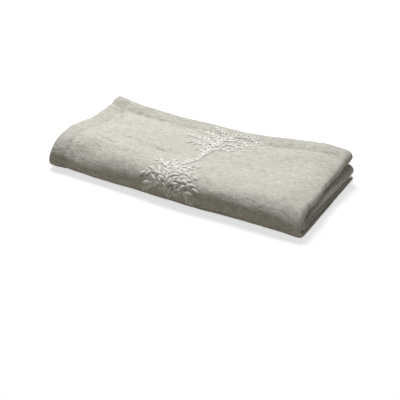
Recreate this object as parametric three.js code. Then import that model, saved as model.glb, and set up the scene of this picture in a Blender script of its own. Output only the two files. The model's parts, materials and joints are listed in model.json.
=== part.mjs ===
// A hemmed square linen napkin, 49 cm a side, folded three times and lying flat.
//
// How it is folded, in order:
//   1. in half, so that a soft turn lies at the right end (+X) and four hemmed edges at the left end;
//   2. in half again, front to back, so that a turn lies along the back;
//   3. in half once more, so that the long soft roll lies along the front (-Y).
// That leaves eight plies, numbered from 0 on the table to 7 on top. The cloth is one sheet all through:
// its outer layer runs along plies 7, 0, 3 and 4, its inner layer along plies 6, 1, 2 and 5, and the two
// layers join in the turn at the right end.
//
// Millimetres, +Z up. X runs along the long roll, +Y points from the roll to the loose hems.
import * as THREE from "three";

// ---- The cloth ----
const LENGTH = 250; // folded size along X, half of the square and the rounding of its turn
const WIDTH = 125; // folded size along Y, a quarter of the square and the rounding of its rolls
const PLY = 1.0; // thickness of the cloth
const HEM_WIDTH = 17; // turned hem, along every edge
const HEM_STEP = 2; // the hem thins out to the cloth over this width
const HEM_THICKNESS = 1.6; // the cloth where it is turned twice

// ---- Where the folds lie ----
const LEFT = -LENGTH / 2; // hemmed end of the outer layer
const RIGHT = LENGTH / 2 - 3.5; // as far as the turns at the right end reach
const TURN_BULGE = 0.6; // how far a turn reaches beyond its start, as a share of its height
const FRONT = -WIDTH / 2; // nose of the outermost roll
const FRONT_BOW = 2; // its middle lies this far in front of its ends
const ROLL_CREST = FRONT + 27; // the top ply is highest here
const VALLEY = 22; // it sags here
const BACK = WIDTH / 2; // its hemmed back edge

// The pairs of plies lie a little askew on each other: how far the right end of each ply, from 0 to 7,
// swings out at the back.
const SWING = [1.6, 1.6, 1.4, 1.4, 1.8, 1.8, -2.5, -2.5];

// The height of ply 7 over the roll, over the valley and at the back edge, and the height of ply 3, which
// is the top of the lower half, at the front and at the back. One row for each section along X.
const SECTIONS = [
  { x: -125, roll: 26.7, valley: 19.5, back: 22.4, halfFront: 8.2, halfBack: 7.4 },
  { x: -105, roll: 26.4, valley: 18.8, back: 18.9, halfFront: 8.1, halfBack: 7.2 },
  { x: -75, roll: 25.8, valley: 18.2, back: 17.2, halfFront: 7.6, halfBack: 6.4 },
  { x: -25, roll: 25.2, valley: 17.6, back: 17.6, halfFront: 7.4, halfBack: 6.0 },
  { x: 35, roll: 25.0, valley: 19.4, back: 20.0, halfFront: 7.2, halfBack: 5.9 },
  { x: 90, roll: 25.8, valley: 25.0, back: 27.2, halfFront: 7.0, halfBack: 5.7 },
  { x: 125, roll: 25.0, valley: 26.6, back: 27.4, halfFront: 6.8, halfBack: 5.6 },
];

// How plies 4, 5 and 6 share the height between ply 3 and ply 7. At the right end each pair of plies
// stands open in its turn and the pairs lie close together.
const EVEN = { 4: 0.22, 5: 0.46, 6: 0.72 };
const PAIRED_FRONT = { 4: 0.19, 5: 0.3, 6: 0.41 };
const PAIRED_BACK = { 4: 0.08, 5: 0.43, 6: 0.53 };
const PAIRED_ALONG_X = [25, 120]; // the pairs form between these places
const OPEN_ALONG_Y = [-48, -12]; // and open up between these

// The four rolls at the front, from the outermost in: how far each nose lies behind the outermost, how
// far back its upper and its lower half reach, and the height of its nose as a share of its own height.
const ROLLS = [
  { setBack: 0, reachTop: 27, reachBottom: 9, nose: 0.33 },
  { setBack: 3.4, reachTop: 22, reachBottom: 7, nose: 0.37 },
  { setBack: 7.4, reachTop: 10.5, reachBottom: 5, nose: 0.43 },
  { setBack: 11.2, reachTop: 4.2, reachBottom: 3, nose: 0.5 },
];

// The two layers of the cloth: where its hemmed end lies along X, the plies it runs along, its rolls, and
// where its hems and its turn along the back lie, as distances in front of the back edge.
const LAYERS = [
  { left: LEFT, plies: [7, 0, 3, 4], outer: ROLLS[0], inner: ROLLS[3], hems: [0, 5.5], turn: 1.5 },
  { left: LEFT + 3.5, plies: [6, 1, 2, 5], outer: ROLLS[1], inner: ROLLS[2], hems: [2.2, 3.8], turn: 3.8 },
];

// ---- How finely the sheet is divided ----
const ALONG_X = 11; // flat stretches of each layer, along X
const ROUND_TURN = 8; // the turn at the right end
const RUNS = [9, 11, 5, 6, 6, 6, 7]; // ply, outer roll, ply, turn along the back, ply, inner roll, ply
const SMALL = 1e-3; // step for the slopes of the sheet
const FLAT = 0.05; // anything this near the table lies on it

const LAST_RUN = RUNS.length - 1;

const mix = (a, b, share) => a + (b - a) * share;
const ease = (from, to, value) => THREE.MathUtils.smoothstep(value, from, to);

// A smooth curve through points at rising stations, level at both ends.
function through(stations, heights, at) {
  const last = stations.length - 1;
  const place = THREE.MathUtils.clamp(at, stations[0], stations[last]);
  let i = 0;
  while (i < last - 1 && place > stations[i + 1]) i += 1;
  const slope = (k) =>
    k === 0 || k === last ? 0 : (heights[k + 1] - heights[k - 1]) / (stations[k + 1] - stations[k - 1]);
  const step = stations[i + 1] - stations[i];
  const u = (place - stations[i]) / step;
  const rise = heights[i + 1] - heights[i];
  const start = slope(i) * step;
  const end = slope(i + 1) * step;
  const bend = 3 * rise - 2 * start - end;
  return heights[i] + u * (start + u * (bend + u * (rise - start - bend)));
}

const alongX = (column, x) => through(SECTIONS.map((row) => row.x), SECTIONS.map((row) => row[column]), x);

// Height of the middle of a ply above the table.
function plyHeight(ply, x, y, thickness) {
  const bottom = thickness / 2;
  const half = mix(alongX("halfFront", x), alongX("halfBack", x), ease(ROLL_CREST, VALLEY, y));
  if (ply <= 3) return mix(bottom, half, ply / 3);
  const heights = [alongX("roll", x), alongX("valley", x), alongX("back", x)];
  const top = through([ROLL_CREST, VALLEY, BACK], heights, y);
  if (ply === 7) return top;
  const paired = mix(PAIRED_FRONT[ply], PAIRED_BACK[ply], ease(...OPEN_ALONG_Y, y));
  return mix(half, top, mix(EVEN[ply], paired, ease(...PAIRED_ALONG_X, x)));
}

// A soft roll or turn that carries one ply over into another: two quarter ellipses that meet in its nose.
// turn goes from 0 at its start to 1 at its end. facing is -1 where the nose points to the front, noseShare
// is its height as a share of the roll's, and the two reaches are how far the quarters run in from it.
function rollPoint(from, to, { facing, noseY, noseShare, reaches }, turn) {
  const first = turn < 0.5;
  const end = first ? from : to;
  const reach = first ? reaches[0] : reaches[1];
  const noseZ = mix(Math.min(from.z, to.z), Math.max(from.z, to.z), noseShare);
  const share = Math.abs(Math.cos(turn * Math.PI));
  return {
    y: noseY - facing * reach * (1 - Math.sin(turn * Math.PI)),
    z: mix(noseZ, end.z, share),
    ply: mix((from.ply + to.ply) / 2, end.ply, share),
  };
}

const noseOf = (roll) => FRONT + roll.setBack;
const topStart = (roll) => noseOf(roll) + roll.reachTop;
const bottomStart = (roll) => noseOf(roll) + roll.reachBottom;

// One layer's path through the folds, in the section at x. The path counts the runs: 0 to 1 is the top
// ply, 1 to 2 the outer roll, and so on to the last hem.
function layerPoint({ plies, outer, inner, hems, turn }, path, x, thickness) {
  const at = (ply, y) => ({ y, z: plyHeight(ply, x, y, thickness), ply });
  const turnRadius = (at(plies[2], BACK).z - at(plies[1], BACK).z) / 2;
  const turnStart = BACK - turn - turnRadius;
  const flats = [
    [BACK - hems[0], topStart(outer)],
    [bottomStart(outer), turnStart],
    [turnStart, bottomStart(inner)],
    [topStart(inner), BACK - hems[1]],
  ];
  const run = Math.min(Math.floor(path), LAST_RUN);
  const flat = Math.floor(run / 2);
  const share = path - run;
  if (run % 2 === 0) return at(plies[flat], mix(...flats[flat], share));
  const bends = [
    { facing: -1, noseY: noseOf(outer), noseShare: outer.nose, reaches: [outer.reachTop, outer.reachBottom] },
    { facing: 1, noseY: BACK - turn, noseShare: 0.5, reaches: [turnRadius, turnRadius] },
    { facing: -1, noseY: noseOf(inner), noseShare: inner.nose, reaches: [inner.reachBottom, inner.reachTop] },
  ];
  const from = at(plies[flat], flats[flat][1]);
  const to = at(plies[flat + 1], flats[flat + 1][0]);
  return rollPoint(from, to, bends[flat], share);
}

// How thick the cloth is, from its distance to the nearest hemmed edge.
function thicknessAt({ left, outer, inner, hems }, path, x) {
  const fromFirstHem = path * (BACK - hems[0] - topStart(outer));
  const fromLastHem = (LAST_RUN + 1 - path) * (BACK - hems[1] - topStart(inner));
  const nearest = Math.min(x - left, fromFirstHem, fromLastHem);
  return mix(HEM_THICKNESS, PLY, ease(HEM_WIDTH, HEM_WIDTH + HEM_STEP, nearest));
}

// How far the turn at the right end reaches beyond its start: the wider apart its two plies, the further.
function turnReach(path) {
  const [a, b] = LAYERS.map((layer) => layerPoint(layer, path, RIGHT, PLY));
  return TURN_BULGE * Math.hypot(a.y - b.y, a.z - b.z);
}

// How far a ply swings out to the right at one place.
function swingOf(ply, x, y) {
  const below = Math.min(Math.floor(ply), SWING.length - 2);
  return mix(SWING[below], SWING[below + 1], ply - below) * ((y - FRONT) / WIDTH) * ((x - LEFT) / LENGTH);
}

// The middle of the cloth. across goes from 0 to 1 along the outer layer, from 1 to 2 round the turn at
// the right end, and from 2 to 3 back along the inner layer.
function clothPoint(across, path) {
  const turn = THREE.MathUtils.clamp(across - 1, 0, 1) * Math.PI;
  const toInner = (1 - Math.cos(turn)) / 2;
  const [{ left }, share] = across < 1.5 ? [LAYERS[0], across] : [LAYERS[1], 3 - across];
  const x = mix(left, RIGHT - turnReach(path), Math.min(share, 1));
  const thickness = mix(...LAYERS.map((layer) => thicknessAt(layer, path, x)), toInner);
  const [a, b] = LAYERS.map((layer) => layerPoint(layer, path, x, thickness));
  const y = mix(a.y, b.y, toInner);
  const bow = FRONT_BOW * (1 - (x / RIGHT) ** 2) * (1 - ease(FRONT, VALLEY, y));
  const outward = turnReach(path) * Math.sin(turn) + swingOf(mix(a.ply, b.ply, toInner), x, y);
  return { point: new THREE.Vector3(x + outward, y - bow, mix(a.z, b.z, toInner)), thickness };
}

// The two faces of the cloth at one place, the one that shows outside first.
function facesAt(across, path) {
  const around = (value, end) => [Math.min(value + SMALL, end), Math.max(value - SMALL, 0)];
  const difference = ([a, b]) => a.point.sub(b.point);
  const alongPath = difference(around(path, LAST_RUN + 1).map((near) => clothPoint(across, near)));
  const acrossCloth = difference(around(across, 3).map((near) => clothPoint(near, path)));
  const outward = alongPath.cross(acrossCloth).normalize();
  const { point, thickness } = clothPoint(across, path);
  return [1, -1].map((side) => {
    const face = point.clone().addScaledVector(outward, (side * thickness) / 2);
    if (face.z < FLAT) face.z = 0;
    return face;
  });
}

// Even stations from 0 up to 1, which is left out.
const evenStations = (count) => Array.from({ length: count }, (_, i) => i / count);

// The same along a run that starts with a hem, with a pair of stations where the hem thins out.
function hemStations(count, length) {
  const step = [HEM_WIDTH / length, (HEM_WIDTH + HEM_STEP) / length];
  const clear = (share) => share === 0 || step.every((edge) => Math.abs(share - edge) > 0.4 / count);
  return [...evenStations(count).filter(clear), ...step].sort((a, b) => a - b);
}

// Turned round, for a run that ends with a hem. 0 and 1 are both in it.
const reversed = (shares) => [...shares.map((share) => 1 - share), 0].sort((a, b) => a - b);

function clothGeometry() {
  const acrossStations = [
    ...hemStations(ALONG_X, LENGTH),
    ...evenStations(ROUND_TURN).map((share) => 1 + share),
    ...reversed(hemStations(ALONG_X, LENGTH)).map((share) => 2 + share),
  ];
  const runLength = BACK - ROLL_CREST;
  const pathStations = RUNS.flatMap((count, run) => {
    const first = run === 0 ? hemStations(count, runLength) : evenStations(count);
    const shares = run === LAST_RUN ? reversed(hemStations(count, runLength)) : first;
    return shares.map((share) => run + share);
  });

  const columns = acrossStations.length;
  const rows = pathStations.length;
  const positions = [];
  for (const side of [0, 1])
    for (const across of acrossStations)
      for (const path of pathStations) positions.push(...facesAt(across, path)[side].toArray());

  const vertex = (side, [column, row]) => (side * columns + column) * rows + row;
  const triangles = [];
  const quad = (a, b, c, d) => triangles.push(a, b, c, a, c, d);
  for (let column = 0; column < columns - 1; column += 1)
    for (let row = 0; row < rows - 1; row += 1) {
      const corners = [[column, row], [column, row + 1], [column + 1, row + 1], [column + 1, row]];
      quad(...corners.map((corner) => vertex(0, corner)));
      quad(...corners.map((corner) => vertex(1, corner)).reverse());
    }

  // The edge all round the cloth closes it between its two faces.
  const [lastColumn, lastRow] = [columns - 1, rows - 1];
  const edge = [];
  for (let column = 0; column < lastColumn; column += 1) edge.push([column, 0]);
  for (let row = 0; row < lastRow; row += 1) edge.push([lastColumn, row]);
  for (let column = lastColumn; column > 0; column -= 1) edge.push([column, lastRow]);
  for (let row = lastRow; row > 0; row -= 1) edge.push([0, row]);
  edge.forEach((a, i) => {
    const b = edge[(i + 1) % edge.length];
    quad(vertex(0, a), vertex(0, b), vertex(1, b), vertex(1, a));
  });

  const geometry = new THREE.BufferGeometry();
  geometry.setAttribute("position", new THREE.Float32BufferAttribute(positions, 3));
  geometry.setIndex(triangles);
  // The origin is the middle of the napkin's footprint, on the table.
  geometry.computeBoundingBox();
  const middle = geometry.boundingBox.getCenter(new THREE.Vector3());
  geometry.translate(-middle.x, -middle.y, 0);
  geometry.computeVertexNormals();
  return geometry;
}

const linen = new THREE.MeshStandardMaterial({ color: 0xc9c5b8, roughness: 0.95, metalness: 0 });
const cloth = new THREE.Mesh(clothGeometry(), linen);
cloth.name = "napkin_cloth";

const napkin = new THREE.Group();
napkin.add(cloth);

export default napkin;
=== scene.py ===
# %% [markdown]
# # A folded linen napkin
#
# The object is a square of washed linen with a turned hem and a white embroidered sprig, folded three
# times and laid on a table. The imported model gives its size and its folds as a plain, rather thick sheet.
# This lesson makes the real cloth over it: thinner, finely rumpled, hemmed, stitched and embroidered.
#
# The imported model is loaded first. It never moves, and every new piece is worked out in its frame.

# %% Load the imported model
import json
import math

import bpy
import numpy as np
from mathutils import Matrix, Vector

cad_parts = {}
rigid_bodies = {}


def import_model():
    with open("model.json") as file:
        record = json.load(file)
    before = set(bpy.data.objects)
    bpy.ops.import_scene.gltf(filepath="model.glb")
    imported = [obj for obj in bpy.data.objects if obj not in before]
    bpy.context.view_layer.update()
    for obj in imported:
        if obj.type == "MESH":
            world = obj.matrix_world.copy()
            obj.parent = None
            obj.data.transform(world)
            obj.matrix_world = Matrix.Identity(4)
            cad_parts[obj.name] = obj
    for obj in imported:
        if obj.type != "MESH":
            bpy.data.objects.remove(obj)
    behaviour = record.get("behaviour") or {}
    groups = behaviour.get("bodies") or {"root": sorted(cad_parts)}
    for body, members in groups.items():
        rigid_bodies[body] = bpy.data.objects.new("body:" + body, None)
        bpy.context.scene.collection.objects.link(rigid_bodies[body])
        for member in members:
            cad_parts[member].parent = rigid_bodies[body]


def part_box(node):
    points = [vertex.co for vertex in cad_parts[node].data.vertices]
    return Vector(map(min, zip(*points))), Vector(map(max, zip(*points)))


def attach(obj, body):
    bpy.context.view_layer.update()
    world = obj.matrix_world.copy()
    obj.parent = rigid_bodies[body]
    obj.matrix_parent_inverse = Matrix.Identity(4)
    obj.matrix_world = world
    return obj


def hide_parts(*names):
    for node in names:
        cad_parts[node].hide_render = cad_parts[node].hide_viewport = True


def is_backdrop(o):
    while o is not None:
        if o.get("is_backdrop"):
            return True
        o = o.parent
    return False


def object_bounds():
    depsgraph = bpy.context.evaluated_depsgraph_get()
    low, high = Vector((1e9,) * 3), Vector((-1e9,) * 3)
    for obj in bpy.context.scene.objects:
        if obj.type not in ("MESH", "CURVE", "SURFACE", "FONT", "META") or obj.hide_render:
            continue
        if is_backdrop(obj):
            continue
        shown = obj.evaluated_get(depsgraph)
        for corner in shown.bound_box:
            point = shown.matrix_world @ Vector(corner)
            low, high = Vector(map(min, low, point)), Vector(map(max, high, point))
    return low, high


for leftover in list(bpy.data.objects):
    bpy.data.objects.remove(leftover)
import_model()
MM = 0.001
packed_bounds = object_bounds()
cloth_low, cloth_high = [np.array(corner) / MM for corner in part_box("napkin_cloth")]
print("packed cloth, mm:", np.round(cloth_high - cloth_low, 1))

# %% [markdown]
# ## The camera
#
# The napkin is seen from its front right corner, from a little way above, with a long lens that keeps its
# sides almost parallel. The camera is turned a little about its own axis, because the napkin stood on a
# slope when it was seen and lies level here. A camera's own axes are its right, its up and its back, and
# they are the columns of its turning matrix, so they are worked out and put in directly.

# %% Camera
AZIMUTH, ELEVATION, ROLL = np.radians([25.75, 30.23, 2.63])
DISTANCE = 1011.9  # mm from the camera to the point it looks at
AIM = np.array([20.34, -43.4, 0.0])
LENS = 103.77  # mm, on a sensor 36 mm wide

back = np.array([
    np.sin(AZIMUTH) * np.cos(ELEVATION),
    -np.cos(AZIMUTH) * np.cos(ELEVATION),
    np.sin(ELEVATION),
])
level_right = np.cross(-back, [0, 0, 1])
level_right /= np.linalg.norm(level_right)
level_up = np.cross(level_right, -back)
right = level_right * np.cos(ROLL) + level_up * np.sin(ROLL)
up = level_up * np.cos(ROLL) - level_right * np.sin(ROLL)

camera_data = bpy.data.cameras.new("camera")
camera_data.lens = LENS
camera_data.sensor_width = 36  # mm
camera_data.clip_end = 20
camera = bpy.data.objects.new("camera", camera_data)
bpy.context.scene.collection.objects.link(camera)
turned = Matrix(np.column_stack([right, up, back]).tolist()).to_4x4()
camera.matrix_world = Matrix.Translation(Vector((AIM + back * DISTANCE) * MM)) @ turned
bpy.context.scene.camera = camera
print("camera stands at, mm:", np.round(AIM + back * DISTANCE))

# %% [markdown]
# ## How the cloth is folded
#
# A maker folds the square in half to the right end, in half to the back, and in half once more to the
# front. That leaves eight plies, numbered from 0 on the table to 7 on top. The outer layer of the cloth
# runs along plies 7, 0, 3 and 4, the inner layer along plies 6, 1, 2 and 5, and the layers join in the
# soft turn at the right end.
#
# A simulation could fold a sheet, but it wouldn't stop in just this shape. So the folds are written down
# as a shape: the height of each ply over the table at a few sections along the napkin, and the reach of
# each roll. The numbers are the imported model's own, apart from a millimetre or two at the right end and
# the fullness of the front roll, so the finished cloth lies where its solid lies. It is thinner, as the
# real cloth is: 0.6 mm, and about twice that in the hem, where three plies are pressed together.

# %% The fold's own sizes, in millimetres
LENGTH, WIDTH = 250, 125
PLY, PACKED_PLY = 0.6, 1.0
LEFT, RIGHT = -LENGTH / 2, LENGTH / 2 - 3.5
TURN_BULGE = 0.6  # reach of the right end's turn, as a share of the distance between its plies
FRONT, BACK = -WIDTH / 2, WIDTH / 2
FRONT_BOW = 2  # how far the front edge bows out in its middle
ROLL_CREST, VALLEY = FRONT + 27, 22  # y where the front roll starts, and where the top ply is lowest
HEM = 17
SEAM = HEM - 1.6  # the line of hem stitches, in from the edge

# How far each ply reaches past the right end: at the back, and a third of the way from front to back.
SWING = np.array([1.6, 1.6, 1.4, 1.4, 1.8, 1.8, -2.5, -2.5])
SET_BACK = np.array([0.6, 0.4, -0.8, -0.8, 0.0, 0.0, -1.6, -1.6])

# x, top ply over the roll, over the valley and at the back, ply 3 at the front and at the back.
SECTIONS = np.array([
    [-125, 26.7, 19.5, 22.4, 8.2, 7.4],
    [-105, 26.4, 18.8, 18.9, 8.1, 7.2],
    [-75, 25.8, 18.2, 17.2, 7.6, 6.4],
    [-25, 25.2, 17.6, 17.6, 7.4, 6.0],
    [35, 25.0, 19.4, 20.0, 7.2, 5.9],
    [90, 25.8, 25.0, 27.2, 6.7, 4.7],
    [125, 25.0, 26.6, 27.4, 6.3, 3.8],
])

# Heights of plies 4 to 6 as shares of the way from ply 3 to ply 7: evenly spread over most of the napkin,
# and in pairs at the right end, where each pair joins in one turn.
EVEN = {4: 0.21, 5: 0.46, 6: 0.70}
PAIRED_FRONT = {4: 0.19, 5: 0.30, 6: 0.41}
PAIRED_BACK = {4: 0.08, 5: 0.50, 6: 0.57}
PAIRED_ALONG_X = (25, 120)  # the pairs form between these places

# The four rolls from the outermost in: set back, reach above, reach below, height of the nose.
ROLLS = [(0, 27, 9, 0.33), (3.4, 22, 7, 0.37), (7.4, 10.5, 5, 0.43), (11.2, 4.2, 3, 0.5)]

# How full the outer roll is along x: below 1 it stays level longer, above 1 it slopes from its crest.
FULLNESS = [(-125, 1.0), (-95, 1.35), (-62, 1.05), (-30, 0.88), (20, 0.72), (60, 0.8), (90, 0.9), (125, 1.1)]

# Each layer: its left end, its plies, its outer and inner roll, and its hems and turn at the back.
LAYERS = [
    (LEFT, (7, 0, 3, 4), ROLLS[0], ROLLS[3], (0, 5.5), 1.5),
    (LEFT + 3.5, (6, 1, 2, 5), ROLLS[1], ROLLS[2], (2.2, 3.8), 3.8),
]

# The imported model's origin is the middle of its footprint, so the folds are shifted to lie on it.
SHIFT = np.array([cloth_low[0] - LEFT, cloth_high[1] - BACK, 0.0])
print("the folds are shifted by, mm:", np.round(SHIFT, 2))

# %% Small helpers for smooth shapes
def mix(a, b, share):
    """The value that lies a share of the way from a to b."""
    return a + (b - a) * share


def ease(start, end, value):
    """Rises from 0 at start to 1 at end, level at both: 3 s squared minus 2 s cubed."""
    s = np.clip((value - start) / (end - start), 0, 1)
    return s * s * (3 - 2 * s)


def through(stations, heights, at):
    """A smooth curve through heights at rising stations: a cubic between two stations, whose slope at
    each is that of the straight line between its neighbours, and level at both ends."""
    stations = np.asarray(stations, float)
    *heights, at = np.broadcast_arrays(*heights, at)
    heights = np.stack(heights).astype(float)
    slopes = np.zeros_like(heights)
    spans = (stations[2:] - stations[:-2]).reshape((-1,) + (1,) * at.ndim)
    slopes[1:-1] = (heights[2:] - heights[:-2]) / spans
    place = np.clip(at, stations[0], stations[-1])
    i = np.clip(np.searchsorted(stations, place, side="right") - 1, 0, len(stations) - 2)
    step = stations[i + 1] - stations[i]
    u = (place - stations[i]) / step
    low, high = [np.take_along_axis(heights, k[None], 0)[0] for k in (i, i + 1)]
    start, end = [np.take_along_axis(slopes, k[None], 0)[0] * step for k in (i, i + 1)]
    rise = high - low
    bend = 3 * rise - 2 * start - end
    return low + u * (start + u * (bend + u * (rise - start - bend)))


def drift(u, v, seed):
    """A smooth random height from -1 to 1: random numbers on a lattice, eased from one to the next."""
    lattice = np.random.default_rng(seed).uniform(-1, 1, (97, 97))
    i, j = np.floor(u).astype(int), np.floor(v).astype(int)
    a, b = ease(0, 1, u - i), ease(0, 1, v - j)
    corner = lambda k, m: lattice[(i + k) % 97, (j + m) % 97]
    return mix(mix(corner(0, 0), corner(1, 0), a), mix(corner(0, 1), corner(1, 1), a), b)


print("an ease from 0 to 10 at 2, 5 and 8:", np.round(ease(0, 10, np.array([2, 5, 8])), 3))

# %% [markdown]
# ## The height of each ply
#
# The top ply dips behind the roll and rises to its hem, more so at the right end, where each pair of plies
# stands open in its turn. There the top ply slopes down to its fold. A few broad sags and swells are added,
# since folded linen never lies evenly. They are soft hills on the table's plan, and the plies underneath
# share them.

# %% Ply heights, with sags and swells
# Middle x and y, half length along x, half width along y, height.
SWELLS = [
    (-84, -14, 20, 14, -1.2),
    (-25, -12, 42, 17, -2.6),
    (60, -14, 50, 17, -2.6),
    (78, 14, 36, 18, -3.4),
    (-100, 44, 28, 11, -2.0),
    (-45, 44, 34, 11, -2.0),
    (55, 45, 50, 9, -0.8),
]
END_SLOPE, SLOPE_LENGTH = 4.6, 26  # the top ply's drop to its fold at the right end, and over what length


def swells(x, y):
    """The sum of soft hills: each falls off as the bell curve of its distance from its middle."""
    hill = lambda mx, my, lx, ly, height: height * np.exp(-(((x - mx) / lx) ** 2 + ((y - my) / ly) ** 2))
    return sum(hill(*row) for row in SWELLS)


def along_x(column, x):
    """One column of the table of sections, as a smooth curve along x."""
    return through(SECTIONS[:, 0], list(SECTIONS[:, column]), x)


def ply_height(ply, x, y, thickness):
    """Height of a ply's middle: even steps up to ply 3, and above it shares of the height up to ply 7."""
    half = mix(along_x(4, x), along_x(5, x), ease(ROLL_CREST, VALLEY, y))
    if ply <= 3:
        return mix(thickness / 2, half, ply / 3)
    top = through([ROLL_CREST, VALLEY, BACK], [along_x(column, x) for column in (1, 2, 3)], y)
    top = top + swells(x, y)
    if ply == 7:
        sloping = END_SLOPE * ease(-56, -24, y) * mix(1, 0.3, ease(20, 58, y))
        return top - sloping * np.clip((x - RIGHT + SLOPE_LENGTH) / SLOPE_LENGTH, 0, 1) ** 2
    paired = mix(PAIRED_FRONT[ply], PAIRED_BACK[ply], ease(-48, -12, y))
    return mix(half, top, mix(EVEN[ply], paired, ease(*PAIRED_ALONG_X, x)))


for place in (-100, 0, 100):
    heights = [ply_height(ply, np.array(place), np.array(20.0), PLY) for ply in range(8)]
    print("plies at x", place, "mm:", np.round(np.array(heights, float), 1))

# %% [markdown]
# ## The way through the folds
#
# A place on the cloth is given by two numbers. One says how far across the cloth it lies: 0 to 1 along the
# outer layer, 1 to 2 round the turn at the right end, and 2 to 3 back along the inner layer. The other
# counts the runs through the folds from the back hem: top ply, front roll, bottom ply, turn at the back,
# third ply, inner roll, last ply. A roll is two quarter ellipses that meet in its nose.

# %% Rolls and layers
def roll_point(start, end, facing, nose_y, nose_share, reaches, turn, full=1.0, slope=0.0):
    """Two quarter ellipses: y runs in from the nose by reach times 1 minus the sine of the turn, and z
    and the ply number leave the nose with its cosine. A power below 1 makes the first one fuller and
    one above 1 makes it flatter, and it sets out along the slope of the ply it comes from."""
    first = turn < 0.5
    reach = np.where(first, reaches[0], reaches[1])
    nose_z = mix(np.minimum(start[1], end[1]), np.maximum(start[1], end[1]), nose_share)
    power = np.where(first, full, 1.0)
    share = np.abs(np.cos(turn * np.pi)) ** power
    y = nose_y - facing * reach * (1 - np.sin(turn * np.pi) ** power)
    z = mix(nose_z, np.where(first, start[1], end[1]), share)
    z = z + slope * (y - start[0]) * np.where(first, share**2, 0)
    ply = mix((start[2] + end[2]) / 2, np.where(first, start[2], end[2]), share)
    return y, z, ply


def layer_point(layer, path, x, thickness):
    """y, z and ply of one layer: straight along a ply on the even runs, round a roll on the odd ones."""
    left, plies, outer, inner, hems, turn = layer
    path, x, thickness = [np.asarray(a, float) for a in np.broadcast_arrays(path, x, thickness)]
    result = np.zeros((3,) + path.shape)
    nose = {"outer": FRONT + outer[0], "inner": FRONT + inner[0]}
    for run in range(7):
        here = np.clip(np.floor(path), 0, 6) == run
        if not here.any():
            continue
        px, share, thick = x[here], path[here] - run, thickness[here]
        at = lambda ply, y: (y, ply_height(ply, px, y, thick), np.full_like(px, ply))
        back_edge = np.full_like(px, BACK)
        radius = (at(plies[2], back_edge)[1] - at(plies[1], back_edge)[1]) / 2
        turn_start = BACK - turn - radius
        wave = [0.35 * (1 + drift(px / 23, 0 * px, 5 + k)) for k in (0, 1)]
        flats = [
            (BACK - hems[0] - wave[0], nose["outer"] + outer[1] + 0 * px),
            (nose["outer"] + outer[2] + 0 * px, turn_start),
            (turn_start, nose["inner"] + inner[2] + 0 * px),
            (nose["inner"] + inner[1] + 0 * px, BACK - hems[1] - wave[1]),
        ]
        flat = run // 2
        if run % 2 == 0:
            result[:, here] = at(plies[flat], mix(*flats[flat], share))
            continue
        start, end = at(plies[flat], flats[flat][1]), at(plies[flat + 1], flats[flat + 1][0])
        if run == 1:
            shape = (-1, nose["outer"], outer[3], (outer[1], outer[2]))
        elif run == 3:
            shape = (1, BACK - turn, 0.5, (radius, radius))
        else:
            shape = (-1, nose["inner"], inner[3], (inner[2], inner[1]))
        full, slope = 1.0, 0.0
        if run == 1:
            full = through(*np.transpose(FULLNESS), px)
            slope = at(plies[0], flats[0][1] + 1)[1] - start[1]
        result[:, here] = roll_point(start, end, *shape, share, full, slope)
    return result


nose_y, nose_z, _ = layer_point(LAYERS[0], 1.5, 0.0, PLY)
print("nose of the front roll at x 0, y and z in mm:", np.round([float(nose_y), float(nose_z)], 1))

# %% The middle of the cloth
def turn_reach(path):
    """How far the right end's turn reaches: a share of the distance between its two plies."""
    a, b = [layer_point(layer, path, RIGHT, PACKED_PLY) for layer in LAYERS]
    return TURN_BULGE * np.hypot(a[0] - b[0], a[1] - b[1])


def cloth_middle(across, path, thickness=PLY):
    """The middle of the cloth, in mm. Round the right end the layers are mixed by half of 1 minus the
    cosine of the turn, and its sine pushes the cloth outward by the turn's reach, along the slope that
    each ply arrives with. A power on the cosine pinches the fold towards the front, where it was pressed."""
    turn = np.clip(across - 1, 0, 1) * np.pi
    outer = across < 1.5
    left = np.where(outer, LAYERS[0][0], LAYERS[1][0])
    share = np.where(outer, across, 3 - across)
    reach = turn_reach(path)
    x = mix(left, RIGHT - reach, np.minimum(share, 1))
    a, b = [layer_point(layer, path, x, thickness) for layer in LAYERS]
    cosine = np.cos(turn)
    pinched = mix(1.5, 1.0, ease(-10, 45, a[0]))
    to_inner = (1 - np.sign(cosine) * np.abs(cosine) ** pinched) / 2
    y, z, ply = mix(a, b, to_inner)
    behind = [layer_point(layer, path, x - 1, thickness) for layer in LAYERS]
    slopes = [here[1] - there[1] for here, there in zip((a, b), behind)]
    z = z + reach * np.sin(turn) * mix(*slopes, to_inner)
    bow = FRONT_BOW * (1 - (x / RIGHT) ** 2) * (1 - ease(FRONT, VALLEY, y))
    below = np.clip(np.floor(ply).astype(int), 0, 6)
    at_ply = lambda table: mix(table[below], table[below + 1], ply - below)
    q = (y - FRONT) / WIDTH
    swing = at_ply(SWING) * q + at_ply(SET_BACK) * 6.75 * q * (1 - q) ** 2 + 0.5 * drift(y / 24, 0.9 * ply, 7)
    x = x + reach * np.sin(turn) + swing * (x - LEFT) / LENGTH
    return np.stack([x, y - bow, z], -1) + SHIFT


def outward(across, path, small=1e-3):
    """The direction out of the cloth's right side: the slope along the path crossed with the slope
    across the cloth."""
    step = lambda value, sign, end: np.clip(value + sign * small, 0, end)
    along = cloth_middle(across, step(path, 1, 7)) - cloth_middle(across, step(path, -1, 7))
    over = cloth_middle(step(across, 1, 3), path) - cloth_middle(step(across, -1, 3), path)
    normal = np.cross(along, over)
    return normal / np.linalg.norm(normal, axis=-1, keepdims=True)


corner = cloth_middle(np.array([0.0]), np.array([0.0]))
print("back left corner of the top ply, mm:", np.round(corner[0], 1))

# %% [markdown]
# ## Where the cloth is divided
#
# The cloth shows best on top and over the front roll, so the grid is finest there, about 1.3 mm, and
# coarse on the hidden plies. A few stations lie close together along each edge, where the hem's fold is
# round, and the grid is finer over the back hem, where its step shows.

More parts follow.
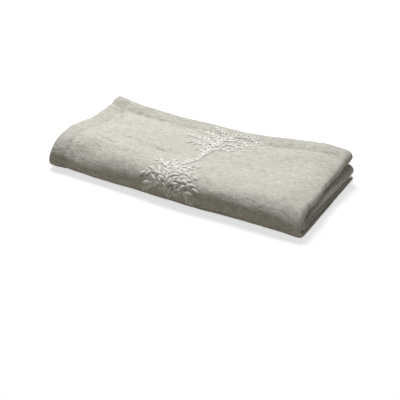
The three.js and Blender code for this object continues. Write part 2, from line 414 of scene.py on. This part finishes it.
# %% Stations on the cloth
def stations(*pieces):
    """Even stations from piece to piece: each piece gives its start, its end and how many steps."""
    return np.concatenate([np.linspace(a, b, n, endpoint=False) for a, b, n in pieces] + [[pieces[-1][1]]])


across = stations((0, 0.004, 3), (0.004, 1, 180), (1, 2, 14), (2, 2.91, 40), (2.91, 2.996, 11), (2.996, 3, 3))
path = stations(
    (0, 0.01, 3), (0.01, 0.24, 26), (0.24, 1, 58), (1, 2, 38), (2, 3, 10), (3, 4, 8), (4, 5, 13), (5, 6, 10),
    (6, 6.78, 14), (6.78, 6.99, 11), (6.99, 7, 3),
)
A, P = np.meshgrid(across, path, indexing="ij")
middle = cloth_middle(A, P)
normal = outward(A, P)

# Distance over the cloth from its left hem (S) and from its back hem (T): the mean of all grid lines.
def lengths(points, axis):
    """Running length along one direction of the grid, averaged over the other."""
    steps = np.linalg.norm(np.diff(points, axis=axis), axis=-1).mean(axis=1 - axis)
    return np.concatenate([[0], np.cumsum(steps)])


S_AT, T_AT = lengths(middle, 0), lengths(middle, 1)
S, T = np.meshgrid(S_AT, T_AT, indexing="ij")
print("grid", middle.shape[:2], "cloth, mm:", round(S_AT[-1]), "x", round(T_AT[-1]))

# %% [markdown]
# ## Rumples, creases and hem
#
# Washed linen is never quite flat. Broad wrinkles run this way and that, finer ones lie over them, and
# a few creases are left from ironing and folding. Along the stitching of the hem the thread pulls the
# cloth into small puckers. All of these move the cloth in or out along its own normal. They reach about
# two millimetres on top, and far less on the hidden plies, which lie close together.

# %% Relief of the cloth
SHOWN_S, SHOWN_T = (246, 262), (136, 150)  # mm from the left and back hems: here the top goes out of sight

# On the right side of the outer layer, in mm over the cloth from its left hem and its back hem: start,
# end, half width, height.
CREASES = [
    (46, 71, 66, 73, 1.5, -1.3),
    (66, 73, 92, 77, 1.9, -1.3),
    (72, 79, 106, 75, 2.4, -1.4),
    (38, 93, 52, 95, 1.9, -1.5),
    (54, 100, 84, 97, 4.5, 0.6),
    (22, 88, 44, 86, 5.0, 0.4),
    (19, 22, 32, 48, 3.0, -1.0),
    (128, 44, 158, 52, 3.0, -1.0),
    (170, 60, 226, 66, 4.0, 0.45),
]


def creases(s, t):
    """Soft troughs and ridges: each falls off as the bell curve of the distance to its line."""
    total = np.zeros_like(s)
    for s0, t0, s1, t1, width, height in CREASES:
        ds, dt = s1 - s0, t1 - t0
        share = np.clip(((s - s0) * ds + (t - t0) * dt) / (ds * ds + dt * dt), 0, 1)
        away = np.hypot(s - s0 - share * ds, t - t0 - share * dt)
        total += height * np.exp(-((away / width) ** 2))
    return total


def from_hems(s, t):
    """Distance in from the nearer left or right hem and the place along it, then the same for the back
    and front hems, whose places are shifted so that they get their own random numbers."""
    return (np.minimum(s, S_AT[-1] - s), t), (np.minimum(t, T_AT[-1] - t), s + 131)


def puckers(s, t):
    """What the sewing does to the cloth: it is drawn down along the stitching, in uneven dimples a few mm
    long, and short ridges stand square to it, stronger in some places than in others."""
    total = np.zeros_like(s)
    for inward, along in from_hems(s, t):
        uneven = drift(along / 31, 0 * along, 21)
        drawn = np.exp(-(((inward - SEAM) / 2.6) ** 2)) * (0.42 + 0.16 * uneven)
        dimples = np.exp(-(((inward - 15.0) / 4.2) ** 2)) * drift(along / 5.2, inward / 2.3, 24)
        square = drift(along / 3.4, inward / 14, 22) + 0.5 * drift(along / 2.1, inward / 9, 23)
        beside = np.exp(-(((inward - 13.0) / 7.0) ** 2)) * (0.2 + 0.14 * uneven)
        total += beside * square + 0.44 * dimples - drawn
    return total


def relief(s, t):
    """How far the cloth stands out, in mm. The hidden plies keep only a third of it or less."""
    rumple = 0.6 * drift(s / 27, t / 17, 11) + 0.4 * drift(s / 14, t / 8, 12)
    rumple += 0.17 * drift(s / 8.5, t / 4.2, 13) + 0.06 * drift(s / 3.2, t / 3.0, 14)
    shown = (1 - ease(*SHOWN_S, s)) * (1 - ease(*SHOWN_T, t))
    return rumple * mix(0.33, 1, shown) + creases(s, t) * shown + puckers(s, t) * mix(0.25, 1, shown)


# The cloth's thickness on each side of its middle: half a ply, more in the hem, which turns to the wrong
# side, and rounded off to nothing over the last millimetre.
inward = np.minimum(*[distance for distance, _ in from_hems(S, T)])
hemmed = 1 - ease(HEM - 0.6, HEM + 0.9, inward)
rounding = np.sqrt(1 - np.clip(1 - (inward + 0.05) / 0.9, 0, 1) ** 2)
stitch_line = -0.14 * np.exp(-(((inward - SEAM) / 0.8) ** 2))
right_side = mix(PLY / 2, 0.52, hemmed) * rounding + stitch_line
# The covered hems are pressed flatter, and so is the inside of the turn at the right end.
wrong_side = mix(PLY / 2, mix(0.76, 0.55, ease(*SHOWN_S, S)), hemmed) * rounding
wrong_side = wrong_side * (1 - 0.6 * np.exp(-(((A - 1.5) / 0.22) ** 2)))
lift = relief(S, T)
print("relief, mm:", round(lift.min(), 2), "to", round(lift.max(), 2))

# %% [markdown]
# ## The sheet
#
# A sheet could be one surface that a Solidify modifier makes thick, but then it would be as thick in the
# hem as anywhere. So both faces are worked out: the middle of the cloth is raised along its normal for the
# right side and lowered for the wrong side, by its own amount at each place, and a rim joins the two.

# %% Put the cloth together
def mesh_object(name, points, faces, uvs, material=None):
    """A mesh from points in mm, faces as rows of point numbers, and one uv in metres for each point."""
    mesh = bpy.data.meshes.new(name)
    corners = np.concatenate([f.ravel() for f in faces])
    sizes = np.concatenate([np.full(len(f), f.shape[1]) for f in faces])
    mesh.vertices.add(len(points))
    mesh.vertices.foreach_set("co", (points * MM).astype(np.float32).ravel())
    mesh.loops.add(len(corners))
    mesh.loops.foreach_set("vertex_index", corners.astype(np.int32))
    mesh.polygons.add(len(sizes))
    starts = np.concatenate([[0], np.cumsum(sizes)[:-1]])
    mesh.polygons.foreach_set("loop_start", starts.astype(np.int32))
    mesh.polygons.foreach_set("use_smooth", np.ones(len(sizes), bool))
    layer = mesh.uv_layers.new(name="cloth")
    layer.data.foreach_set("uv", uvs[corners].astype(np.float32).ravel())
    mesh.update(calc_edges=True)
    mesh.validate()
    if material:
        mesh.materials.append(material)
    piece = bpy.data.objects.new(name, mesh)
    bpy.context.scene.collection.objects.link(piece)
    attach(piece, "root")
    print(name, "points", len(points), "faces", len(sizes))
    return piece


def grid_faces(columns, rows, first=0):
    """Four-cornered faces of a grid whose points are numbered row by row in each column."""
    i, j = np.meshgrid(np.arange(columns - 1), np.arange(rows - 1), indexing="ij")
    a = first + (i * rows + j).ravel()
    return np.stack([a, a + 1, a + rows + 1, a + rows], 1)


columns, rows = A.shape
face_right = middle + normal * (lift + right_side)[..., None]
face_wrong = middle + normal * (lift - wrong_side)[..., None]
# The table stops both faces.
for face, least in ((face_right, 0.0), (face_wrong, 0.05)):
    face[..., 2] = np.maximum(face[..., 2], least)
count = columns * rows
front_faces = grid_faces(columns, rows)
back_faces = grid_faces(columns, rows, count)[:, ::-1]
i, j = np.arange(columns), np.arange(rows)
edge = np.concatenate([i * rows, (columns - 1) * rows + j[1:], (i * rows + rows - 1)[-2::-1], j[-2:0:-1]])
following = np.roll(edge, -1)
rim = np.stack([edge, following, following + count, edge + count], 1)
cloth_points = np.concatenate([face_right.reshape(-1, 3), face_wrong.reshape(-1, 3)])
cloth_uv = np.tile(np.stack([S, T], -1).reshape(-1, 2) * MM, (2, 1))
cloth = mesh_object("folded_cloth", cloth_points, [front_faces, back_faces, rim], cloth_uv)
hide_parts("napkin_cloth")

# %% [markdown]
# ## Linen
#
# Undyed linen is greige and matt, and its yarns are uneven: each one swells and thins, so the cloth shows
# short streaks both ways. An image could carry that, but a pattern of nodes stays sharp at any distance.
# It reads the cloth's own map, in metres over the cloth, so it runs round every fold as the yarns do. The
# weave is a plain one: where the sine across the warp times the sine across the weft is above 0 the warp
# yarn lies on top, and elsewhere the weft yarn does.

# %% Helpers for materials
# Sockets are named, or counted where several share a name: on a Mix node 2 and 3 are its two values and 6
# and 7 its two colours, and on a Map Range node 1 to 4 are from low, from high, to low and to high.
def add_node(tree, kind, inputs=(), **settings):
    """A new node with its settings, and with each input either linked to an output or set to a value."""
    made = tree.nodes.new(kind)
    for name, value in settings.items():
        setattr(made, name, value)
    for socket, value in inputs:
        if isinstance(value, bpy.types.NodeSocket):
            tree.links.new(value, made.inputs[socket])
        else:
            made.inputs[socket].default_value = value
    return made


def maths(tree, operation, a, b=0.0):
    """The result of one sum on two values or outputs."""
    return add_node(tree, "ShaderNodeMath", [(0, a), (1, b)], operation=operation).outputs[0]


def new_material(name):
    """A material with its node tree and its shader."""
    material = bpy.data.materials.new(name)
    material.use_nodes = True
    return material, material.node_tree, material.node_tree.nodes["Principled BSDF"]


def streaks(tree, u, v, per_u, per_v, detail=2.0):
    """Noise from 0 to 1 stretched along one yarn direction: per_u and per_v are its features a metre."""
    place = add_node(tree, "ShaderNodeCombineXYZ", [(0, maths(tree, "MULTIPLY", u, per_u)),
                                                    (1, maths(tree, "MULTIPLY", v, per_v))])
    noise = add_node(tree, "ShaderNodeTexNoise", [("Vector", place.outputs[0]), ("Scale", 1.0),
                                                  ("Detail", detail)], noise_dimensions="2D")
    return noise.outputs["Fac"]

# %% Linen material
YARN = 0.62  # mm from one yarn to the next
linen, tree, shader = new_material("washed_linen")
uv = add_node(tree, "ShaderNodeUVMap", uv_map="cloth")
parts = add_node(tree, "ShaderNodeSeparateXYZ", [(0, uv.outputs[0])])
u, v = parts.outputs[0], parts.outputs[1]

warp_slubs = streaks(tree, u, v, 950, 130)
weft_slubs = streaks(tree, u, v, 160, 950)
clouds = streaks(tree, u, v, 170, 400, 4.0)
specks = streaks(tree, u, v, 900, 900, 1.0)
slubs = maths(tree, "ADD", maths(tree, "MULTIPLY", warp_slubs, 0.8), maths(tree, "MULTIPLY", weft_slubs, 1.0))
slubs = maths(tree, "ADD", slubs, maths(tree, "MULTIPLY", clouds, 1.1))
slubs = maths(tree, "ADD", slubs, maths(tree, "MULTIPLY", specks, 0.7))

turns = math.pi / (YARN * MM)
warp = maths(tree, "SINE", maths(tree, "ADD", maths(tree, "MULTIPLY", u, turns),
                                 maths(tree, "MULTIPLY", weft_slubs, 2.2)))
weft = maths(tree, "SINE", maths(tree, "ADD", maths(tree, "MULTIPLY", v, turns),
                                 maths(tree, "MULTIPLY", warp_slubs, 2.2)))
# The product of the sines runs from -1 to 1, and half of it plus a half from 0 to 1.
over = maths(tree, "MULTIPLY_ADD", maths(tree, "MULTIPLY", warp, weft), 0.5)
over.node.inputs[2].default_value = 0.5
weave = add_node(tree, "ShaderNodeMix", [(0, over), (2, maths(tree, "ABSOLUTE", weft)),
                                         (3, maths(tree, "ABSOLUTE", warp))]).outputs[0]

tone = add_node(tree, "ShaderNodeMapRange", [(0, slubs), (1, 1.34), (2, 2.26), (3, 0.0), (4, 1.0)])
colour = add_node(tree, "ShaderNodeMix", [(0, tone.outputs[0]), (6, (0.459, 0.441, 0.378, 1)),
                                          (7, (0.693, 0.676, 0.605, 1))], data_type="RGBA").outputs[2]
# Painted shade: the colour falls to 0.72 of itself on the flanks of each yarn and in the grooves between
# yarns, where the weave is low.
painted_yarn_shade = add_node(tree, "ShaderNodeMapRange", [(0, weave), (1, 0.0), (2, 0.5), (3, 0.72), (4, 1.0)])
colour = add_node(tree, "ShaderNodeVectorMath", [(0, colour), ("Scale", painted_yarn_shade.outputs[0])],
                  operation="SCALE").outputs[0]
# Painted shade: the hem is drawn 8% darker than the rest of the cloth. Its mask is the distance in from
# the nearest edge, in metres.
from_left = maths(tree, "MINIMUM", u, maths(tree, "SUBTRACT", S_AT[-1] * MM, u))
from_back = maths(tree, "MINIMUM", v, maths(tree, "SUBTRACT", T_AT[-1] * MM, v))
nearest = maths(tree, "MINIMUM", from_left, from_back)
painted_hem_shade = add_node(tree, "ShaderNodeMapRange", [(0, nearest), (1, (HEM - 1.5) * MM), (2, (HEM + 0.5) * MM),
                                               (3, 0.92), (4, 1.0)])
colour = add_node(tree, "ShaderNodeVectorMath", [(0, colour), ("Scale", painted_hem_shade.outputs[0])],
                  operation="SCALE").outputs[0]
tree.links.new(colour, shader.inputs["Base Color"])

height = maths(tree, "ADD", maths(tree, "MULTIPLY", weave, 0.12), maths(tree, "MULTIPLY", slubs, 0.5))
bump = add_node(tree, "ShaderNodeBump", [("Height", height), ("Strength", 0.8), ("Distance", 0.65 * MM)])
tree.links.new(bump.outputs[0], shader.inputs["Normal"])
shader.inputs["Roughness"].default_value = 0.55
shader.inputs["Specular IOR Level"].default_value = 0.05
shader.inputs["Sheen Weight"].default_value = 0.12
shader.inputs["Sheen Roughness"].default_value = 0.5
cloth.data.materials.append(linen)
print("linen yarns to the centimetre:", round(10 / YARN))

# %% [markdown]
# ## Thread
#
# Threads and satin-stitched leaves are the same shape at two sizes: a long closed form, rounded on top and
# nearly flat below, that follows a line drawn on the flat cloth. It could be drawn as curves with a bevel,
# but curves don't lie on a folded cloth. So each one is worked out on the flat cloth, and then every point
# is carried to the folded cloth and raised along its normal.

# %% Forms that lie on the cloth
def on_cloth(s, t, height):
    """A place on the right side of the folded cloth, raised by a height: the finished grid and its
    normals, mixed between the four nearest points."""
    i = np.clip(np.searchsorted(S_AT, s, side="right") - 1, 0, columns - 2)
    j = np.clip(np.searchsorted(T_AT, t, side="right") - 1, 0, rows - 2)
    a = ((s - S_AT[i]) / (S_AT[i + 1] - S_AT[i]))[..., None]
    b = ((t - T_AT[j]) / (T_AT[j + 1] - T_AT[j]))[..., None]
    side = lambda grid, j: mix(grid[i, j], grid[i + 1, j], a)
    blend = lambda grid: mix(side(grid, j), side(grid, j + 1), b)
    return blend(face_right) + blend(normal) * height[..., None]


def sewn(s, t, half_width, rise, sides, sunk=0.12):
    """Closed forms along lines on the flat cloth, one line a row. Round each line the width follows the
    cosine and the height the sine; below the cloth the sine is cut down to the depth it is sunk, and under
    the napkin a form is pressed flat by the table."""
    ds, dt = np.gradient(s, axis=1), np.gradient(t, axis=1)
    size = np.hypot(ds, dt)
    angle = np.linspace(0, 2 * np.pi, sides, endpoint=False)
    wide = half_width[..., None] * np.cos(angle)
    ring_s = s[..., None] - (dt / size)[..., None] * wide
    ring_t = t[..., None] + (ds / size)[..., None] * wide
    share = rise / rise.max()
    high = np.where(np.sin(angle) > 0, rise[..., None], sunk * share[..., None]) * np.sin(angle)
    high = high - 0.04
    length = np.concatenate([np.zeros((len(s), 1)), np.cumsum(size[:, 1:], 1)], 1)
    along = np.broadcast_to(length[..., None], wide.shape)
    rings = slice(1, -1)
    forms, count = s.shape[0], s.shape[1] - 2
    points = [on_cloth(ring_s, ring_t, high)[:, rings].reshape(forms, -1, 3)]
    uvs = [np.stack([along, wide], -1)[:, rings].reshape(forms, -1, 2)]
    for end in (0, -1):
        points.append(on_cloth(s[:, end], t[:, end], np.zeros(forms))[:, None])
        uvs.append(np.stack([length[:, end], 0 * length[:, end]], -1)[:, None])
    points, uvs = np.concatenate(points, 1), np.concatenate(uvs, 1)
    points[..., 2] = np.maximum(points[..., 2], 0.03)
    i, k = np.meshgrid(np.arange(count - 1), np.arange(sides), indexing="ij")
    nxt = (k + 1) % sides
    quads = np.stack([i * sides + k, (i + 1) * sides + k, (i + 1) * sides + nxt, i * sides + nxt], -1)
    k = np.arange(sides)
    nxt = (k + 1) % sides
    first, last = count * sides, count * sides + 1
    low = np.stack([np.full(sides, first), k, nxt], 1)
    top = np.stack([np.full(sides, last), (count - 1) * sides + nxt, (count - 1) * sides + k], 1)
    jump = (np.arange(forms) * points.shape[1])[:, None, None]
    quads = (quads.reshape(-1, 4) + jump).reshape(-1, 4)
    ends = (np.concatenate([low, top]) + jump).reshape(-1, 3)
    return points.reshape(-1, 3), [quads, ends], uvs.reshape(-1, 2) * MM


on_roll = on_cloth(np.array([S_AT[-1] / 4]), np.array([133.0]), np.array([0.0]))
print("cloth 133 mm from the back hem lies at, mm:", np.round(on_roll[0], 1))

# %% [markdown]
# ## Hem stitching
#
# One line of stitches holds the hem down all round, in thread of the cloth's own colour. Each stitch is a
# short rounded form, sunk at both ends where the thread goes through the cloth.

# %% Hem stitches
STITCH, STITCH_GAP = 2.6, 0.6  # mm


def seam_line(end):
    """Starts of the stitches along one side, between the seams of its two neighbours."""
    return np.arange(SEAM, end - SEAM - STITCH, STITCH + STITCH_GAP)


s_end, t_end = S_AT[-1], T_AT[-1]
station = np.linspace(0, 1, 6)
along_s, along_t = [start[:, None] + station * STITCH for start in (seam_line(s_end), seam_line(t_end))]
stitch_s = np.concatenate([along_s, along_s, 0 * along_t + SEAM, 0 * along_t + s_end - SEAM])
stitch_t = np.concatenate([0 * along_s + SEAM, 0 * along_s + t_end - SEAM, along_t, along_t])
skew = np.random.default_rng(31).uniform(-0.12, 0.12, (len(stitch_s), 1)) * (station - 0.5)
round_off = np.sqrt(1 - (2 * station - 1) ** 2) + 0 * stitch_s
points, faces, uvs = sewn(stitch_s + skew, stitch_t + skew, 0.26 * round_off, 0.3 * round_off, 5)
stitching = mesh_object("hem_stitching", points, faces, uvs)
print("stitches:", len(stitch_s))

# %% [markdown]
# ## The embroidered sprig
#
# A leafy sprig runs across the cloth, from the hem at the back over the top and down the front roll. It
# opens into a bunch of side shoots at both ends. The design is a plain one: one waving stem, side shoots,
# and pointed leaves at even steps on both sides. It is drawn on the flat cloth with a few points for each
# stem, and a smooth curve goes through them.

# %% Stems
VINE = 122.5  # mm from the left hem
# Points of each stem, as mm beside the vine's line and mm from the back hem, then the length of its
# leaves, the step between them and their half width as a share of their length.
STEMS = [
    ([(1, 137), (-1, 128), (-2, 118), (0, 108), (1, 98)], 7.0, 7.2, 0.2),
    ([(1, 98), (1, 88), (4, 76), (3, 64), (5, 52), (4, 42), (5, 32), (8, 20)], 6.6, 4.6, 0.2),
    ([(0, 134), (-8, 127), (-16, 126), (-22, 131)], 7.4, 5.8, 0.2),
    ([(-1, 127), (-8, 118), (-16, 115), (-24, 119)], 7.6, 5.8, 0.2),
    ([(-2, 119), (-7, 109), (-13, 104), (-19, 103)], 7.6, 5.8, 0.2),
    ([(-1, 110), (-5, 101), (-10, 96)], 7.0, 5.6, 0.2),
    ([(1, 134), (7, 128), (14, 127), (20, 132)], 7.4, 5.8, 0.2),
    ([(-1, 126), (6, 119), (14, 117), (22, 122)], 7.6, 5.8, 0.2),
    ([(-2, 117), (5, 109), (12, 107), (19, 110)], 7.4, 5.8, 0.2),
    ([(0, 107), (6, 100), (12, 98)], 7.0, 5.6, 0.2),
    ([(4, 63), (-1, 56), (-6, 53)], 6.6, 5.2, 0.19),
    ([(5, 54), (-3, 46), (-11, 43), (-18, 45)], 7.0, 5.2, 0.19),
    ([(4, 43), (-5, 34), (-14, 31), (-23, 32)], 7.0, 5.2, 0.19),
    ([(5, 33), (-3, 23), (-12, 18), (-20, 17)], 7.0, 5.2, 0.19),
    ([(7, 22), (1, 13), (-7, 8)], 6.6, 5.2, 0.19),
    ([(4, 47), (11, 41), (19, 41)], 6.8, 5.2, 0.19),
    ([(5, 37), (13, 31), (21, 30), (28, 34)], 7.0, 5.2, 0.19),
    ([(6, 27), (15, 21), (25, 21), (34, 26)], 7.0, 5.2, 0.19),
    ([(8, 20), (17, 12), (28, 11), (39, 15)], 6.6, 5.2, 0.19),
    ([(8, 20), (11, 12), (17, 6)], 6.0, 5.0, 0.19),
]


def smooth_line(points, step):
    """A smooth line through a few points, measured out in even steps along its length. Between two points
    it is a cubic, and its slope at each is half the way from the point before to the point after."""
    points = np.array(points, float)
    last = len(points) - 1
    fine = np.linspace(0, last, 40 * len(points))
    i = np.clip(fine.astype(int), 0, last - 1)
    u = (fine - i)[:, None]
    before, after = points[np.maximum(i - 1, 0)], points[np.minimum(i + 2, last)]
    a, b = points[i], points[i + 1]
    curve = 0.5 * (2 * a + (b - before) * u + (2 * before - 5 * a + 4 * b - after) * u**2
                   + (3 * a - before - 3 * b + after) * u**3)
    run = np.concatenate([[0], np.cumsum(np.linalg.norm(np.diff(curve, axis=0), axis=1))])
    places = np.linspace(0, run[-1], max(4, round(run[-1] / step) + 1))
    return np.stack([np.interp(places, run, curve[:, k]) for k in (0, 1)], 1)


def joined(parts):
    """Several forms as one mesh."""
    jumps = np.concatenate([[0], np.cumsum([len(part[0]) for part in parts])[:-1]])
    points, uvs = [np.concatenate([part[k] for part in parts]) for k in (0, 2)]
    faces = [face + jump for part, jump in zip(parts, jumps) for face in part[1]]
    return points, faces, uvs


stem_parts = []
for stem, *_ in STEMS:
    line = smooth_line(stem, 0.8)
    taper = np.sqrt(np.clip(np.linspace(0, 1, len(line)) * np.linspace(len(line), 0, len(line)) / 3, 0, 1))
    half = (0.55 * taper)[None]
    stem_parts.append(sewn(VINE + line[None, :, 0], line[None, :, 1], half, 0.75 * taper[None], 8))
stems = mesh_object("embroidered_stems", *joined(stem_parts))

# %% Leaves
def leaf_places(stem, size, step, share, rng):
    """Foot, direction, length, side and half width of the leaves on one stem: left and right in turn, and
    one at the tip."""
    line = smooth_line(stem, 0.25)
    at = np.arange(0.7 * step, 0.25 * len(line) - 0.3 * size, 0.5 * step) / 0.25
    at = np.clip(at + rng.uniform(-2, 2, len(at)), 0, len(line) - 2).astype(int)
    side = np.where(np.arange(len(at)) % 2 == 0, 1, -1)
    heading = np.arctan2(*(line[at + 1] - line[at]).T[::-1])
    angle = heading + side * rng.uniform(0.5, 0.95, len(at))
    tip_heading = np.arctan2(*(line[-1] - line[-3])[::-1])
    feet = np.concatenate([line[at], line[-1:]])
    size = size * rng.uniform(0.8, 1.12, len(feet))
    return feet, np.append(angle, tip_heading), size, np.append(side, 1), share * size


rng = np.random.default_rng(41)
found = [leaf_places(*stem, rng) for stem in STEMS]
feet, angle, size, side, half = [np.concatenate(part) for part in zip(*found)]
share = np.linspace(0, 1, 9)
bend = 0.22 * side[:, None] * (share - 0.1) ** 2
leaf_s = VINE + feet[:, :1] + size[:, None] * (share * np.cos(angle)[:, None] + bend * np.sin(angle)[:, None])
leaf_t = feet[:, 1:] + size[:, None] * (share * np.sin(angle)[:, None] - bend * np.cos(angle)[:, None])
# A leaf is widest before its middle and pointed at the tip.
outline = np.sin(np.pi * share**0.85) ** 0.8
keep = (leaf_t.min(1) > 2.5) & (leaf_t.max(1) < 143)
half = half[keep, None] * outline
points, faces, uvs = sewn(leaf_s[keep], leaf_t[keep], half, 1.0 * outline + 0 * half, 8)
leaves = mesh_object("embroidered_leaves", points, faces, uvs)
print("leaves:", keep.sum())

# %% [markdown]
# ## Thread materials
#
# Embroidery cotton is off-white with a soft gloss, and the strands of a leaf lie side by side from its
# edges down to its middle. Ridges on the thread's own map show them, as bumps and as painted shade that
# darkens the colour between the strands: they follow the length of the form plus its distance from the
# middle line. The sewing thread is the cloth's colour and matt.

# %% Embroidery and sewing thread
def thread_material(name, light, dark, strand, roughness, specular):
    """Ridges a strand apart, slanting from the middle line to both edges."""
    material, tree, shader = new_material(name)
    uv = add_node(tree, "ShaderNodeUVMap", uv_map="cloth")
    parts = add_node(tree, "ShaderNodeSeparateXYZ", [(0, uv.outputs[0])])
    slant = maths(tree, "MULTIPLY", maths(tree, "ABSOLUTE", parts.outputs[1]), -0.9)
    along = maths(tree, "ADD", parts.outputs[0], slant)
    turn = maths(tree, "MULTIPLY", along, math.pi / (strand * MM))
    ridge = maths(tree, "ABSOLUTE", maths(tree, "SINE", turn))
    uneven = streaks(tree, parts.outputs[0], parts.outputs[1], 1500, 400)
    # Painted shade and random tone: the colour is darkest between the strands, where the ridge is low, and
    # varies at random along the thread.
    strand_shade_and_tone = maths(tree, "MULTIPLY", maths(tree, "POWER", ridge, 0.5), maths(tree, "ADD", uneven, 0.45))
    colour = add_node(tree, "ShaderNodeMix", [(0, strand_shade_and_tone), (6, dark), (7, light)], data_type="RGBA").outputs[2]
    tree.links.new(colour, shader.inputs["Base Color"])
    bump = add_node(tree, "ShaderNodeBump", [("Height", ridge), ("Strength", 0.3), ("Distance", 0.15 * MM)])
    tree.links.new(bump.outputs[0], shader.inputs["Normal"])
    shader.inputs["Roughness"].default_value = roughness
    shader.inputs["Specular IOR Level"].default_value = specular
    shader.inputs["Sheen Weight"].default_value = 0.1
    return material


# The second colour of each pair is the darker end: the painted shade between strands and the darker random
# tone.
off_white = (0.855, 0.85, 0.796, 1), (0.65, 0.645, 0.591, 1)
greige = (0.80, 0.785, 0.72, 1), (0.68, 0.66, 0.59, 1)
cotton = thread_material("embroidery_cotton", *off_white, strand=0.42, roughness=0.5, specular=0.2)
sewing = thread_material("sewing_thread", *greige, strand=0.3, roughness=0.8, specular=0.2)
stems.data.materials.append(cotton)
leaves.data.materials.append(cotton)
stitching.data.materials.append(sewing)
print("sheet declared, with threads in", cotton.name, "and", sewing.name)

# %% [markdown]
# ## Table and light
#
# The napkin lies on a pale floor. One broad lamp stands high behind it to the left and lights its top, a
# weak one fills in from the right, and the sky gives the rest. The floor looks white by its own colour
# and a glow that lights nothing. The glow grows with the distance from the napkin, so the floor ends in
# the white of the sky, and near the napkin it is weak enough to show the soft shadow.

# %% Floor
bpy.ops.mesh.primitive_grid_add(x_subdivisions=8, y_subdivisions=8, size=6, location=(0, 0, -0.0003))
floor = bpy.context.object
floor.name = "floor"
floor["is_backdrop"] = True
paper, tree, shader = new_material("white_floor")
tree.nodes.remove(shader)
seen = add_node(tree, "ShaderNodeLightPath")
for_eye = maths(tree, "ADD", seen.outputs["Is Camera Ray"], seen.outputs["Is Glossy Ray"])
for_eye = maths(tree, "ADD", for_eye, seen.outputs["Is Transmission Ray"])
matt = add_node(tree, "ShaderNodeBsdfDiffuse", [("Color", (0.41, 0.41, 0.41, 1))])
place = add_node(tree, "ShaderNodeTexCoord").outputs["Object"]
away = add_node(tree, "ShaderNodeVectorMath", [(0, place)], operation="LENGTH").outputs["Value"]
glowing = add_node(tree, "ShaderNodeMapRange", [(0, away), (1, 0.3), (2, 1.2), (3, 0.69), (4, 1.0)],
                   interpolation_type="SMOOTHSTEP")
glow = add_node(tree, "ShaderNodeEmission", [("Color", (1, 1, 1, 1)), ("Strength", glowing.outputs[0])])
shown = add_node(tree, "ShaderNodeAddShader", [(0, matt.outputs[0]), (1, glow.outputs[0])])
around = add_node(tree, "ShaderNodeBsdfDiffuse", [("Color", (0.48, 0.44, 0.37, 1))])
both = add_node(tree, "ShaderNodeMixShader", [(0, for_eye), (1, around.outputs[0]), (2, shown.outputs[0])])
tree.links.new(both.outputs[0], tree.nodes["Material Output"].inputs["Surface"])
floor.data.materials.append(paper)
print("floor, m:", [round(side, 2) for side in floor.dimensions[:2]])

# %% Lamps and sky
def lamp(name, place, width, power):
    """A square lamp at a place in metres, turned to the napkin."""
    light = bpy.data.lights.new(name, "AREA")
    light.size = width
    light.energy = power
    made = bpy.data.objects.new(name, light)
    made.location = place
    made.rotation_euler = (-Vector(place)).to_track_quat("-Z", "Y").to_euler()
    bpy.context.scene.collection.objects.link(made)


lamp("behind", (-0.62, 0.65, 1.32), 0.7, 33.0)
lamp("right", (1.1, -0.5, 0.75), 0.5, 1.3)

world = bpy.data.worlds.new("sky")
bpy.context.scene.world = world
world.use_nodes = True
tree = world.node_tree
tree.nodes.clear()
seen = add_node(tree, "ShaderNodeLightPath")
for_eye = maths(tree, "ADD", seen.outputs["Is Camera Ray"], seen.outputs["Is Glossy Ray"])
for_eye = maths(tree, "ADD", for_eye, seen.outputs["Is Transmission Ray"])
sky = add_node(tree, "ShaderNodeBackground", [("Color", (1, 1, 1, 1)), ("Strength", 0.08)])
white = add_node(tree, "ShaderNodeBackground", [("Color", (1, 1, 1, 1)), ("Strength", 1.0)])
both = add_node(tree, "ShaderNodeMixShader", [(0, for_eye), (1, sky.outputs[0]), (2, white.outputs[0])])
add_node(tree, "ShaderNodeOutputWorld", [("Surface", both.outputs[0])])
bpy.context.scene.view_settings.view_transform = "Standard"
print("lamps and sky are set")

# %% [markdown]
# ## The last measure
#
# The finished napkin must stay the size of the imported one, so the boxes of both are kept, and the
# finished one's size is printed.

# %% Finish
size = {
    "packed": [list(corner) for corner in packed_bounds],
    "dressed": [list(corner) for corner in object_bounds()],
}
print("dressed size, mm:", np.round(np.array(size["dressed"]) / MM, 1).tolist())
